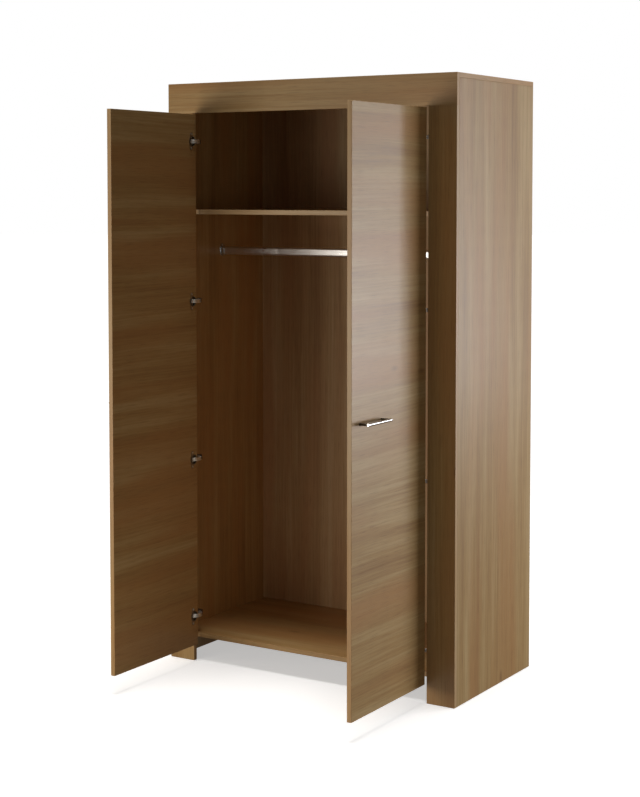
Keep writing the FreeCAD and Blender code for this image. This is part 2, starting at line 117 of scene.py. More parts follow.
FLOOR_DROP = 0.0004
FLOOR_REACH = 60
rings = np.concatenate([[0], np.geomspace(0.5, FLOOR_REACH, 24)])
turn = np.linspace(0, 2 * np.pi, 65)[:-1]
floor_points = np.stack([np.outer(rings, np.cos(turn)), np.outer(rings, np.sin(turn)),
                         np.full((len(rings), len(turn)), -FLOOR_DROP)], -1).reshape(-1, 3)
ring, step = np.meshgrid(np.arange(len(rings) - 1), np.arange(len(turn)), indexing="ij")
after = (step + 1) % len(turn)
corners = np.stack([ring * len(turn) + step, (ring + 1) * len(turn) + step,
                    (ring + 1) * len(turn) + after, ring * len(turn) + after], -1).reshape(-1, 4)
floor_mesh = bpy.data.meshes.new("studio_floor")
floor_mesh.from_pydata(floor_points.tolist(), [], corners.tolist())
floor_mesh.materials.append(floor_acrylic)
floor = bpy.data.objects.new("studio_floor", floor_mesh)
bpy.context.scene.collection.objects.link(floor)
# The floor neither lights the boards nor mirrors in them, which would turn their lower parts grey.
floor.visible_diffuse = False
floor.visible_glossy = False

# ---- Studio light ----
# Soft boxes at the right-hand rear and at the left-hand front, small ones at the left, low in front
# and at the right-hand front, and a wide light overhead. The background is white, and its light on
# the cabinet is only a faint even fill.


def soft_box(name, place, aim, width, height, power, colour):
    """A flat rectangular light at place that faces aim and isn't itself seen."""
    light = bpy.data.lights.new(name, "AREA")
    light.shape = "RECTANGLE"
    light.size = width
    light.size_y = height
    light.energy = power
    light.color = linear(colour)[:3]
    lamp = bpy.data.objects.new(name, light)
    lamp.location = place
    direction = Vector(aim) - Vector(place)
    lamp.rotation_euler = direction.to_track_quat("-Z", "Y").to_euler()
    lamp.visible_camera = False
    bpy.context.scene.collection.objects.link(lamp)


soft_box("rear_right_box", (4.65, 2.93, 0.7), (0.5, -0.2, 0.8), 2.6, 1.2, 126, "#FAFBFF")
soft_box("rear_right_strip", (2.12, 2.1, 1.55), (0.5, -0.5, 1.3), 0.42, 1.9, 15, "#F4F7FF")
soft_box("left_box", (-2.5, -1.6, 0.7), (-0.2, -0.3, 1.3), 1.0, 1.0, 14, "#FFF6EA")
soft_box("front_left_box", (-1.45, -3.75, 0.95), (0.0, -0.2, 1.3), 1.7, 1.6, 40, "#FFF8EE")
soft_box("floor_reflector", (0.0, -1.0, 0.05), (0.0, 0.3, 1.3), 0.9, 0.7, 1.0, "#FFF6EA")
soft_box("front_right_strip", (2.7, -3.1, 1.3), (-0.44, -0.3, 1.2), 0.3, 1.3, 4, "#FFFAF2")
overhead = bpy.data.lights.new("overhead", "SUN")
overhead.energy = 2.3
overhead.angle = math.radians(25)
overhead_lamp = bpy.data.objects.new("overhead", overhead)
bpy.context.scene.collection.objects.link(overhead_lamp)

FILL_STRENGTH = 0.072
BACKGROUND_STRENGTH = 1.0
world = bpy.data.worlds.new("white_studio")
world.use_nodes = True
bpy.context.scene.world = world
sky = world.node_tree
seen = add(sky, "ShaderNodeLightPath").outputs["Is Camera Ray"]
strength = add(sky, "ShaderNodeMapRange",
               inputs={"Value": seen, "To Min": FILL_STRENGTH, "To Max": BACKGROUND_STRENGTH})
sky.links.new(strength.outputs["Result"], sky.nodes["Background"].inputs["Strength"])
sky.nodes["Background"].inputs["Color"].default_value = linear("#FFFFFF")

# ---- Side panels ----
# Two full-height ends of 16 mm chipboard under oak-pattern melamine, grain upright, with a printed
# ABS band on each edge. Cams for the top panel are let into their inner faces.


def printed_oak(name, pale, mid, dark, blush, roughness):
    """Oak decor: broad bands, fine streaks, pores and knots that all run along the paper's U."""
    material, tree, shader = finish_of(name, {"Roughness": roughness, "IOR": 1.5})
    paper = add(tree, "ShaderNodeUVMap", {"uv_map": "decor"}).outputs["UV"]
    # The grain wanders by some 15 mm over about a metre.
    drift_place = add(tree, "ShaderNodeMapping",
                      inputs={"Vector": paper, "Scale": (1.1, 3.5, 1)})
    drift = add(tree, "ShaderNodeTexNoise",
                inputs={"Vector": drift_place.outputs[0], "Scale": 1.0, "Detail": 1.0})
    grain = add(tree, "ShaderNodeVectorMath", {"operation": "MULTIPLY_ADD"},
                {0: drift.outputs["Color"], 1: (0, 0.03, 0), 2: paper}).outputs[0]
    layers = {}
    # Repeats per metre along and across the grain: 60 mm bands, 7 mm streaks, 1.2 mm pores
    # (real ones are 0.3 mm wide), and 140 mm changes of hue.
    for layer, along, across, detail in (("bands", 0.8, 16, 3), ("streaks", 2.2, 140, 3),
                                         ("pores", 14, 820, 1), ("hue", 0.9, 7, 2)):
        place = add(tree, "ShaderNodeMapping",
                    inputs={"Vector": grain, "Scale": (along, across, 1)})
        noise = add(tree, "ShaderNodeTexNoise",
                    inputs={"Vector": place.outputs[0], "Scale": 1.0, "Detail": detail})
        layers[layer] = noise.outputs["Fac"]
    tone = add(tree, "ShaderNodeMath", {"operation": "MULTIPLY_ADD"},
               {0: layers["streaks"], 1: 0.6, 2: layers["bands"]}).outputs[0]
    wood = add(tree, "ShaderNodeValToRGB",
               {"stops": [(0.54, linear(dark)), (0.78, linear(mid)), (1.0, linear(pale))]},
               {"Fac": tone})
    warmth = add(tree, "ShaderNodeMapRange",
                 inputs={"Value": layers["hue"], "From Min": 0.44, "From Max": 0.62,
                         "To Max": 0.75}).outputs[0]
    warmed = add(tree, "ShaderNodeMix", {"data_type": "RGBA", "blend_type": "MIX"},
                 {0: warmth, 6: wood.outputs["Color"], 7: linear(blush)}).outputs[2]
    # A cell every 420 mm along and 150 mm across the grain. About half of them hold a knot, which
    # fades out over some 13 mm by 35 mm from its middle.
    cells = add(tree, "ShaderNodeMapping", inputs={"Vector": grain, "Scale": (2.4, 6.5, 1)})
    knots = add(tree, "ShaderNodeTexVoronoi", inputs={"Vector": cells.outputs[0], "Scale": 1.0})
    chosen = add(tree, "ShaderNodeMath", {"operation": "GREATER_THAN"},
                 {0: knots.outputs["Color"], 1: 0.52}).outputs[0]
    core = add(tree, "ShaderNodeMapRange", {"interpolation_type": "SMOOTHSTEP"},
               {"Value": knots.outputs["Distance"], "From Min": 0.02, "From Max": 0.085,
                "To Min": 0.42, "To Max": 0.0}).outputs[0]
    fleck = add(tree, "ShaderNodeMath", {"operation": "MULTIPLY"}, {0: core, 1: chosen}).outputs[0]
    open_pore = add(tree, "ShaderNodeMapRange",
                    inputs={"Value": layers["pores"], "From Min": 0.56, "From Max": 0.72,
                            "To Max": 0.35}).outputs[0]
    darker = add(tree, "ShaderNodeMath", {"operation": "MAXIMUM"},
                 {0: fleck, 1: open_pore}).outputs[0]
    colour = add(tree, "ShaderNodeMix", {"data_type": "RGBA", "blend_type": "MULTIPLY"},
                 {0: darker, 6: warmed, 7: linear("#8A6A4C")}).outputs[2]
    tree.links.new(colour, shader.inputs["Base Color"])
    relief = add(tree, "ShaderNodeMath", {"operation": "MULTIPLY_ADD"},
                 {0: open_pore, 1: -1.0, 2: layers["streaks"]}).outputs[0]
    bump = add(tree, "ShaderNodeBump",
               inputs={"Height": relief, "Strength": 0.12, "Distance": 0.0004})
    tree.links.new(bump.outputs["Normal"], shader.inputs["Normal"])
    gloss = add(tree, "ShaderNodeMapRange",
                inputs={"Value": layers["streaks"], "To Min": roughness - 0.05,
                        "To Max": roughness + 0.07}).outputs[0]
    tree.links.new(gloss, shader.inputs["Roughness"])
    return material


# Melamine is hard resin over printed paper, pressed against a satin plate: a broad, soft sheen.
oak_melamine = printed_oak("oak_decor_melamine_pressed",
                           "#C6A673", "#B6915C", "#A1794A", "#B88853", 0.35)
# The band is extruded ABS printed to match, a shade lighter and a little duller than the face.
oak_band = printed_oak("oak_decor_abs_edge_band",
                       "#D2B284", "#C49F6B", "#AE8655", "#C3945F", 0.38)

# Chipboard: glued wood chips of 1 to 4 mm, seen only inside the drilled holes.
chipboard, tree, shader = finish_of("raw_chipboard_drilled", {"Roughness": 0.85})
coordinates = add(tree, "ShaderNodeTexCoord").outputs["Object"]
chips = add(tree, "ShaderNodeTexVoronoi", inputs={"Vector": coordinates, "Scale": 380.0})
chip_colour = add(tree, "ShaderNodeValToRGB",
                  {"stops": [(0.1, linear("#8C6A45")), (0.5, linear("#B8935F")),
                             (0.9, linear("#D2B183"))]},
                  {"Fac": chips.outputs["Color"]})
tree.links.new(chip_colour.outputs["Color"], shader.inputs["Base Color"])


def block_grids(low, high, radius, steps=3):
    """Six grids of a rounded block: a point q on the sharp block goes to c + radius times the
    direction from c to q, where c is q held inside the block less the radius."""
    low = np.array(low, float)
    high = np.array(high, float)
    inset = radius * (1 - np.tan(np.linspace(np.pi / 4, 0, steps + 1)))
    lines = [np.concatenate([low[axis] + inset, high[axis] - inset[::-1]]) for axis in range(3)]
    grids = []
    for axis in range(3):
        one, two = (axis + 1) % 3, (axis + 2) % 3
        across, up = np.meshgrid(lines[one], lines[two], indexing="ij")
        for face in (low[axis], high[axis]):
            sharp = np.empty((*across.shape, 3))
            sharp[..., one] = across
            sharp[..., two] = up
            sharp[..., axis] = face
            held = np.clip(sharp, low + radius, high - radius)
            away = sharp - held
            grids.append(held + radius * away / np.linalg.norm(away, axis=-1, keepdims=True))
    return grids


MERGE_WITHIN = 2e-6
SMOOTH_BELOW = math.radians(35)


def closed_mesh(name, grids):
    """Join grids of points, each rows by columns by 3, into a mesh with merged seams, outward
    faces, and smooth shading wherever faces meet at less than 35 degrees."""
    points = []
    faces = []
    start = 0
    for grid in grids:
        rows, columns = grid.shape[:2]
        index = start + np.arange(rows * columns).reshape(rows, columns)
        faces.append(np.stack([index[:-1, :-1], index[1:, :-1], index[1:, 1:], index[:-1, 1:]],
                              -1).reshape(-1, 4))
        points.append(grid.reshape(-1, 3))
        start += rows * columns
    mesh = bpy.data.meshes.new(name)
    mesh.from_pydata(np.concatenate(points).tolist(), [], np.concatenate(faces).tolist())
    shape = bmesh.new()
    shape.from_mesh(mesh)
    bmesh.ops.remove_doubles(shape, verts=shape.verts, dist=MERGE_WITHIN)
    bmesh.ops.recalc_face_normals(shape, faces=shape.faces)
    shape.to_mesh(mesh)
    shape.free()
    mesh.shade_smooth()
    mesh.set_sharp_from_angle(angle=SMOOTH_BELOW)
    return mesh


def fit(mesh, body, replaced, materials=()):
    """Put a mesh in the scene as a piece that rides on a body and stands for its CAD nodes."""
    for material in materials:
        mesh.materials.append(material)
    made = bpy.data.objects.new(mesh.name, mesh)
    bpy.context.scene.collection.objects.link(made)
    weighted = made.modifiers.new("flat_faces_lead", "WEIGHTED_NORMAL")
    weighted.weight = 100
    weighted.keep_sharp = True
    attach(made, body)
    if replaced:
        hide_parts(*replaced)
    return made


def turned(profile, centre, axis, segments=48):
    """A surface of revolution: profile rows of distance along the axis and radius."""
    profile = np.array(profile, float)
    angle = np.linspace(0, 2 * np.pi, segments + 1)
    along = np.repeat(profile[:, :1], segments + 1, axis=1)
    local = np.stack([along, np.outer(profile[:, 1], np.cos(angle)),
                      np.outer(profile[:, 1], np.sin(angle))], -1)
    return np.array(centre, float) + np.roll(local, axis, axis=-1)


BORE_OVER = 0.002


def bore_grids(holes):
    """Closed cylinders to cut away, each from (centre on the face, axis, signed depth, radius),
    which start a little outside the face."""
    grids = []
    for centre, axis, depth, radius in holes:
        out = -math.copysign(BORE_OVER, depth)
        profile = [(out, 0), (out, radius), (depth, radius), (depth, 0)]
        grids.append(turned(profile, centre, axis, 64))
    return grids


def cut_away(mesh, grids):
    """The mesh with closed shapes taken out of it, as a new mesh."""
    whole = bpy.data.objects.new("whole", mesh)
    tool = bpy.data.objects.new("tool", closed_mesh("tool", grids))
    for item in (whole, tool):
        bpy.context.scene.collection.objects.link(item)
    modifier = whole.modifiers.new("bores", "BOOLEAN")
    modifier.operation = "DIFFERENCE"
    modifier.solver = "EXACT"
    modifier.object = tool
    bpy.context.view_layer.update()
    graph = bpy.context.evaluated_depsgraph_get()
    result = bpy.data.meshes.new_from_object(whole.evaluated_get(graph))
    result.name = mesh.name + "_bored"
    for item in (whole, tool):
        bpy.data.objects.remove(item)
    return result


def read(items, name, width, kind=float):
    """One attribute of every item in a mesh collection, as an array of rows."""
    values = np.empty(len(items) * width, kind)
    items.foreach_get(name, values)
    return values.reshape(-1, width) if width > 1 else values


# Each board is cut from its own place on the printed paper, and its two faces from different ones.
SHEET_ALONG = 1.73
SHEET_ACROSS = 0.61
TURNED_OVER = 0.23
INSIDE_BY = 0.0004


def lay_decor(mesh, low, high, grain, sheet):
    """Place each face on the printed paper in metres, U along the grain and V across it. Faces of
    the board take material 0, its edges 1 with the grain along the edge, and cut holes 2."""
    size = np.array(high) - np.array(low)
    thick = int(np.argmin(size))
    cross = 3 - thick - grain
    points = read(mesh.vertices, "co", 3)
    normals = read(mesh.polygons, "normal", 3)
    centres = read(mesh.polygons, "center", 3)
    corner = read(mesh.loops, "vertex_index", 1, np.int32)
    sides = read(mesh.polygons, "loop_total", 1, np.int32)
    face = np.repeat(np.arange(len(mesh.polygons)), sides)
    main = np.argmax(np.abs(normals), axis=1)
    along = np.where(main == grain, cross, grain)
    across = np.where(main == thick, cross, thick)
    facing = np.sign(normals[np.arange(len(main)), main])
    u = points[corner, along[face]] + SHEET_ALONG * sheet
    v = points[corner, across[face]] + SHEET_ACROSS * sheet + TURNED_OVER * facing[face]
    layer = mesh.uv_layers.new(name="decor")
    layer.data.foreach_set("uv", np.stack([u, v], -1).ravel())
    depth = np.minimum(centres - np.array(low), np.array(high) - centres).min(axis=1)
    outer = np.where(main == thick, 0, 1)
    mesh.polygons.foreach_set("material_index", np.where(depth > INSIDE_BY, 2, outer))


BAND_ROUND = 0.001
ALONG_X, ALONG_Y, ALONG_Z = 0, 1, 2


def board(node, grain, sheet, body="carcass", holes=(), radius=BAND_ROUND,
          materials=(oak_melamine, oak_band, chipboard)):
    """A decor board in the place of a CAD node, with rounded bands and drilled holes."""
    low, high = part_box(node)
    mesh = closed_mesh(node + "_board", block_grids(low, high, radius))
    if holes:
        mesh = cut_away(mesh, bore_grids(holes))
    lay_decor(mesh, low, high, grain, sheet)
    return fit(mesh, body, [node], materials)


SIDES = (("left", 1), ("right", -1))
CAM_RADIUS = 0.0076
CAM_DEPTH = 0.0126
SIDE_CAM_HEIGHT = 1.95
SIDE_CAM_PLACES = (-0.19956, 0.20856)
for number, (side, sign) in enumerate(SIDES):
    low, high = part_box("side_panel_" + side)
    inner = high.x if sign > 0 else low.x
    board("side_panel_" + side, ALONG_Z, 1 + number,
          holes=[((inner, y, SIDE_CAM_HEIGHT), 0, -sign * CAM_DEPTH, CAM_RADIUS)
                 for y in SIDE_CAM_PLACES])

# ---- Top panel ----
# Laid over both ends and pinned with dowels and cams, in the same 16 mm board with its grain
# across the cabinet.
board("top_panel", ALONG_X, 4)

# ---- Bottom panel and shelf ----
# Both are held between the ends by cam fittings that go in from below. Their front edges are banded
# and the shelf is fixed, because it stiffens the tall ends.
CAM_FROM_MIDDLE = 0.509
CAM_PLACES = (-0.19756, 0.21056)
for number, name in enumerate(("bottom_panel", "shelf")):
    low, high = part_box(name)
    board(name, ALONG_X, 6 + number,
          holes=[((x, y, low.z), 2, CAM_DEPTH, CAM_RADIUS)
                 for x in (-CAM_FROM_MIDDLE, CAM_FROM_MIDDLE) for y in CAM_PLACES])

# ---- Base rail ----
# A low board on edge under the back of the bottom panel, which carries its middle to the floor.
board("base_rail", ALONG_X, 9)

# ---- Front posts ----
# Two 100 mm wide uprights, dowelled to the front edges of the ends. They frame the doors and hide
# the hinge plates behind them. Their grain is upright.
for number, (side, _) in enumerate(SIDES):
    board("front_post_" + side, ALONG_Z, 11 + number)

# ---- Fascia ----
# One board across the whole front above the doors, with its grain across the cabinet. It butts on
# the tops of the posts and leaves a fine joint there.
board("fascia", ALONG_X, 14)

# ---- Back panels ----
# Two sheets of 3 mm hardboard, nailed on from behind. The inner side is lacquered with a printed
# oak pattern, and the outer side is bare brown fibre.
oak_lacquer = printed_oak("oak_print_on_hardboard_lacquered",
                          "#D0B083", "#C09B6C", "#AA8357", "#C09164", 0.5)
hardboard, tree, shader = finish_of("bare_hardboard_pressed_fibre", {"Roughness": 0.8, "IOR": 1.45})
coordinates = add(tree, "ShaderNodeTexCoord").outputs["Object"]
# Fibres are about 2 mm long, and the press leaves a cloudy tone some 80 mm across.
fibres = add(tree, "ShaderNodeTexNoise",
             inputs={"Vector": coordinates, "Scale": 450.0, "Detail": 4.0})
clouds = add(tree, "ShaderNodeTexNoise",
             inputs={"Vector": coordinates, "Scale": 12.0, "Detail": 2.0})
mixed = add(tree, "ShaderNodeMath", {"operation": "MULTIPLY_ADD"},
            {0: fibres.outputs["Fac"], 1: 0.6, 2: clouds.outputs["Fac"]}).outputs[0]
fibre_colour = add(tree, "ShaderNodeValToRGB",
                   {"stops": [(0.55, linear("#6F5138")), (0.8, linear("#8B6A4B")),
                              (1.0, linear("#A08060"))]},
                   {"Fac": mixed})
tree.links.new(fibre_colour.outputs["Color"], shader.inputs["Base Color"])
press_marks = add(tree, "ShaderNodeBump",
                  inputs={"Height": fibres.outputs["Fac"], "Strength": 0.3, "Distance": 0.0003})
tree.links.new(press_marks.outputs["Normal"], shader.inputs["Normal"])

SHEET_ROUND = 0.0004
FACES_FRONT = -0.7
for number, (side, _) in enumerate(SIDES):
    sheet = board("back_panel_" + side, ALONG_Z, 17 + number, radius=SHEET_ROUND,
                  materials=(oak_lacquer, hardboard, hardboard))
    facing = read(sheet.data.polygons, "normal", 3)[:, 1]
    sheet.data.polygons.foreach_set("material_index", np.where(facing < FACES_FRONT, 0, 1))

# ---- Back joint strip ----
# An extruded brown plastic strip of H section. The two back sheets slide into its grooves, and its
# flanges cover their edges inside and out.
strip_plastic, tree, shader = finish_of("brown_pvc_strip_extruded", {"Roughness": 0.4, "IOR": 1.53})
coordinates = add(tree, "ShaderNodeTexCoord").outputs["Object"]
# The die leaves fine lines along the strip, one about every 1.5 mm.
die_place = add(tree, "ShaderNodeMapping",
                inputs={"Vector": coordinates, "Scale": (650, 650, 1.5)})
die_lines = add(tree, "ShaderNodeTexNoise",
                inputs={"Vector": die_place.outputs[0], "Scale": 1.0, "Detail": 2.0})
strip_colour = add(tree, "ShaderNodeValToRGB",
                   {"stops": [(0.35, linear("#8E6C48")), (0.65, linear("#9F7C55"))]},
                   {"Fac": die_lines.outputs["Fac"]})
tree.links.new(strip_colour.outputs["Color"], shader.inputs["Base Color"])
strip_bump = add(tree, "ShaderNodeBump",
                 inputs={"Height": die_lines.outputs["Fac"], "Strength": 0.2,
                         "Distance": 0.0001})
tree.links.new(strip_bump.outputs["Normal"], shader.inputs["Normal"])

low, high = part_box("back_joint_strip")
FLANGE = 0.001
FLANGE_ROUND = 0.00035
WEB_ROUND = 0.0001
inner_flange = block_grids(low, (high.x, low.y + FLANGE, high.z), FLANGE_ROUND, 2)
outer_flange = block_grids((low.x, high.y - FLANGE, low.z), high, FLANGE_ROUND, 2)
web = block_grids((-FLANGE / 2, low.y + FLANGE / 2, low.z + FLANGE),
                  (FLANGE / 2, high.y - FLANGE / 2, high.z - FLANGE), WEB_ROUND, 1)
fit(closed_mesh("back_joint_strip_profile", inner_flange + outer_flange + web), "carcass",
    ["back_joint_strip"], [strip_plastic])

# ---- Hanging rail ----
# A 30 x 15 mm oval steel tube with a 1.2 mm wall, satin chromium plated, set on edge in two open
# cradles. The ends are sawn square and deburred.


def metal(name, colour, roughness, scratch, stretch, depth):
    """A metal surface whose fine marks, scratch per metre and stretched along an axis, vary its
    gloss and relief."""
    material, tree, shader = finish_of(name, {"Base Color": linear(colour), "Metallic": 1.0})
    coordinates = add(tree, "ShaderNodeTexCoord").outputs["Object"]
    place = add(tree, "ShaderNodeMapping", inputs={"Vector": coordinates, "Scale": stretch})
    marks = add(tree, "ShaderNodeTexNoise",
                inputs={"Vector": place.outputs[0], "Scale": scratch, "Detail": 3.0}).outputs["Fac"]
    gloss = add(tree, "ShaderNodeMapRange",
                inputs={"Value": marks, "From Min": 0.3, "From Max": 0.7,
                        "To Min": roughness * 0.75, "To Max": roughness * 1.3}).outputs[0]
    tree.links.new(gloss, shader.inputs["Roughness"])
    bump = add(tree, "ShaderNodeBump", inputs={"Height": marks, "Strength": 0.15, "Distance": depth})
    tree.links.new(bump.outputs["Normal"], shader.inputs["Normal"])
    return material


# Chromium over brushed steel: bright, with a soft highlight.
chrome_tube = metal("chromium_plate_satin", "#F1F0EE", 0.36, 500, (0.05, 1, 1), 0.00002)


def obround(radius, low, high, count=24):
    """An outline with half-round ends: flat sides between low and high on its second axis."""
    turn = np.linspace(0, np.pi, count)
    arc = radius * np.stack([np.cos(turn), np.sin(turn)], -1)
    return np.concatenate([arc + (0, high), (0, low) - arc])


low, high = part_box("hanging_rail")
rail_y = (low.y + high.y) / 2
rail_z = (low.z + high.z) / 2
RAIL_WALL = 0.0012
DEBURR = 0.0003
rail_round = (high.y - low.y) / 2
rail_flat = (high.z - low.z) / 2 - rail_round
rail_half = (high.x - low.x) / 2
tube_rows = [(-rail_half, DEBURR), (-rail_half + DEBURR, 0), (rail_half - DEBURR, 0),
             (rail_half, DEBURR), (rail_half, RAIL_WALL - DEBURR),
             (rail_half - DEBURR, RAIL_WALL), (-rail_half + DEBURR, RAIL_WALL),
             (-rail_half, RAIL_WALL - DEBURR), (-rail_half, DEBURR)]
tube = []
for along, inset in tube_rows:
    loop = obround(rail_round - inset, -rail_flat, rail_flat)
    loop = np.concatenate([loop, loop[:1]])
    tube.append(np.column_stack([np.full(len(loop), along), loop + (rail_y, rail_z)]))
fit(closed_mesh("hanging_rail_tube", [np.array(tube)]), "carcass",
    ["hanging_rail"], [chrome_tube])

# ---- Rail supports ----
# Die-cast cradles with a flat foot screwed to each end panel, plated to match the tube, which drops
# in from above. Two round-head screws hold each one.


def capped(loops):
    """Close a stack of loops on themselves and each end of the stack on the loop's middle."""
    loops = np.array(loops, float)
    first, last = (np.repeat(loop.mean(axis=0, keepdims=True), loops.shape[1], axis=0)
                   for loop in (loops[0], loops[-1]))
    stack = np.concatenate([[first], loops, [last]])
    return np.concatenate([stack, stack[:, :1]], axis=1)


def pressed_plate(outline, thickness, edge, origin, axis):
    """A flat plate: a closed outline in the two axes after the given one, drawn in towards its
    middle near both faces so that the rim is rounded."""
    outline = np.array(outline, float)
    ahead = np.roll(outline, -1, axis=0) - np.roll(outline, 1, axis=0)
    outward = np.stack([ahead[:, 1], -ahead[:, 0]], -1)
    outward /= np.linalg.norm(outward, axis=1, keepdims=True)
    bend = np.linspace(0, np.pi / 2, 4)
    rise = np.concatenate([edge * (1 - np.cos(bend)), thickness - edge * (1 - np.cos(bend[::-1]))])
    inset = np.concatenate([edge * (1 - np.sin(bend)), edge * (1 - np.sin(bend[::-1]))])
    loops = [np.column_stack([np.full(len(outline), up), outline - outward * back])
             for up, back in zip(rise, inset)]
    return np.array(origin, float) + np.roll(capped(loops), axis, axis=-1)


def channel_grids(outer, inner, start, end, axis, origin):
    """A bent strip carried straight along an axis: outer and inner are matching open paths in the
    two axes after it, joined at the lips and closed at both ends."""
    ring = np.concatenate([outer, inner[::-1], outer[:1]])
    sides = np.stack([np.column_stack([np.full(len(ring), at), ring]) for at in (start, end)])
    ends = [np.stack([np.column_stack([np.full(len(path), at), path]) for path in (outer, inner)])
            for at in (start, end)]
    return [np.array(origin, float) + np.roll(grid, axis, axis=-1) for grid in (sides, *ends)]


def driven_head(centre, axis, sign, radius, height, segments=48):
    """A round screw head that rises by a low dome, with a cross recess sunk in its middle: the
    height is a function of the distance from the middle and the angle round it."""
    share = np.concatenate([np.linspace(0, 0.72, 13), np.linspace(0.78, 1, 6)])
    angle = np.linspace(0, 2 * np.pi, segments + 1)
    out, turn = np.meshgrid(share * radius, angle, indexing="ij")
    across, up = out * np.cos(turn), out * np.sin(turn)
    dome = height * (1 - 0.45 * (out / radius) ** 4)
    nearest = np.minimum(np.abs(across), np.abs(up))
    slot_wall = np.clip((0.17 * radius - nearest) / (0.06 * radius), 0, 1)
    slot_end = np.clip((0.62 * radius - out) / (0.08 * radius), 0, 1)
    face = dome - 0.6 * height * slot_wall * slot_end
    top = np.stack([sign * face, across, up], -1)
    under = np.stack([np.zeros((2, segments + 1)), np.outer((radius, 0), np.cos(angle)),
                      np.outer((radius, 0), np.sin(angle))], -1)
    return np.array(centre, float) + np.roll(np.concatenate([top, under]), axis, axis=-1)


cast_chrome = metal("chromium_on_cast_zinc_satin", "#CFD1D3", 0.22, 700, (1, 1, 1), 0.00003)
zinc_screw = metal("zinc_plated_steel_headed", "#E2DCCF", 0.4, 1400, (1, 1, 1), 0.00002)
PLATE_THICK = 0.0025
FOOT_ROUND = 0.013
FOOT_RISE = 0.020
CRADLE_OUT = 0.010
CRADLE_IN = 0.00762
SCREW_ABOVE = 0.019
SCREW_BELOW = 0.004
HEAD_RADIUS = 0.0035
HEAD_HIGH = 0.0016
wrap = np.linspace(-np.pi, 0, 25)
for side, sign in SIDES:
    low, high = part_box("rail_support_" + side)
    wall_x = low.x if sign > 0 else high.x
    foot = obround(FOOT_ROUND, -rail_flat, FOOT_RISE - rail_flat)
    base = pressed_plate(foot, PLATE_THICK, 0.0007, (0, 0, 0), 0)
    arc = np.stack([np.cos(wrap), np.sin(wrap)], -1)
    outside, inside = (np.concatenate([[(-reach, rail_flat)], arc * reach - (0, rail_flat),
                                       [(reach, rail_flat)]])
                       for reach in (CRADLE_OUT, CRADLE_IN))
    cradle = channel_grids(outside, inside, PLATE_THICK / 2, high.x - low.x, 0, (0, 0, 0))
    mesh = closed_mesh(f"rail_support_{side}_cast",
                       [grid * (sign, 1, 1) + (wall_x, rail_y, rail_z) for grid in (base, *cradle)])
    fit(mesh, "carcass", ["rail_support_" + side], [cast_chrome])

screw_grids = []
for side, sign in SIDES:
    low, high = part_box("rail_support_" + side)
    plate_x = low.x + PLATE_THICK if sign > 0 else high.x - PLATE_THICK
    for z in (rail_z + SCREW_ABOVE, rail_z - SCREW_BELOW):
        screw_grids.append(driven_head((plate_x, rail_y, z), 0, sign, HEAD_RADIUS, HEAD_HIGH))
fit(closed_mesh("rail_screw_heads", screw_grids), "carcass",
    ["rail_screws"], [zinc_screw])

# ---- Doors ----
# Two 16 mm decor boards with their grain across the width, banded all round. Each has four 35 mm
# cup bores near its hinge edge, and the handle is screwed through from the inside.
CUP_BORE = 0.01755
CUP_DEEP = 0.0121
DOOR_SHEET = 21
door_faces = {}
cup_places = {}
for number, (side, sign) in enumerate(SIDES):
    low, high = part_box("door_" + side)
    inner = high.x if sign > 0 else low.x
    door_faces[side] = (inner, low.x if sign > 0 else high.x)
    cups = [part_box(f"hinge_cup_{side}_{row}") for row in (1, 2, 3, 4)]
    cup_places[side] = [((a.y + b.y) / 2, (a.z + b.z) / 2) for a, b in cups]
    board("door_" + side, ALONG_Y, DOOR_SHEET + 2 * number, "door_" + side,
          holes=[((inner, y, z), 0, -sign * CUP_DEEP, CUP_BORE) for y, z in cup_places[side]])

# ---- Hinge cups ----
# Deep-drawn steel cups with two wings, nickel plated and pressed into the doors. Each one is a
# single wall from the middle of its floor up over the lip, out to the wings' rim and down again.
nickel_pressing = metal("nickel_plated_steel_pressed", "#A89D8C", 0.34, 900, (1, 1, 1), 0.00003)
MOUTH = 0.0161
CUP_OUT = 0.0175
RIM = 0.018
WING_HALF = 0.007
WING_REACH = 0.030
WING_BACK = 0.006
LIP = 0.0015
CUP_FLOOR = -0.0106
CUP_UNDER = -0.012
around = np.linspace(0, 2 * np.pi, 145)


def wing_rim(angle):
    """Distance from the cup's middle to the flange's rim: the round rim or the wings, whichever is
    further. The wings are an upright obround that is set back from the middle."""
    ahead, up = np.cos(angle), np.sin(angle)
    with np.errstate(divide="ignore"):
        flat = np.where(ahead > 0, (WING_HALF - WING_BACK) / ahead,
                        (WING_HALF + WING_BACK) / -ahead)
    middle = WING_REACH - WING_HALF
    dot = -WING_BACK * ahead + middle * np.abs(up)
    under_root = np.clip(dot ** 2 - (WING_BACK ** 2 + middle ** 2 - WING_HALF ** 2), 0, None)
    rounded = dot + np.sqrt(under_root)
    straight = flat * np.abs(up) <= middle
    wings = np.where(straight, flat, rounded)
    return np.maximum(RIM, np.minimum(wings, WING_REACH * 1.02))


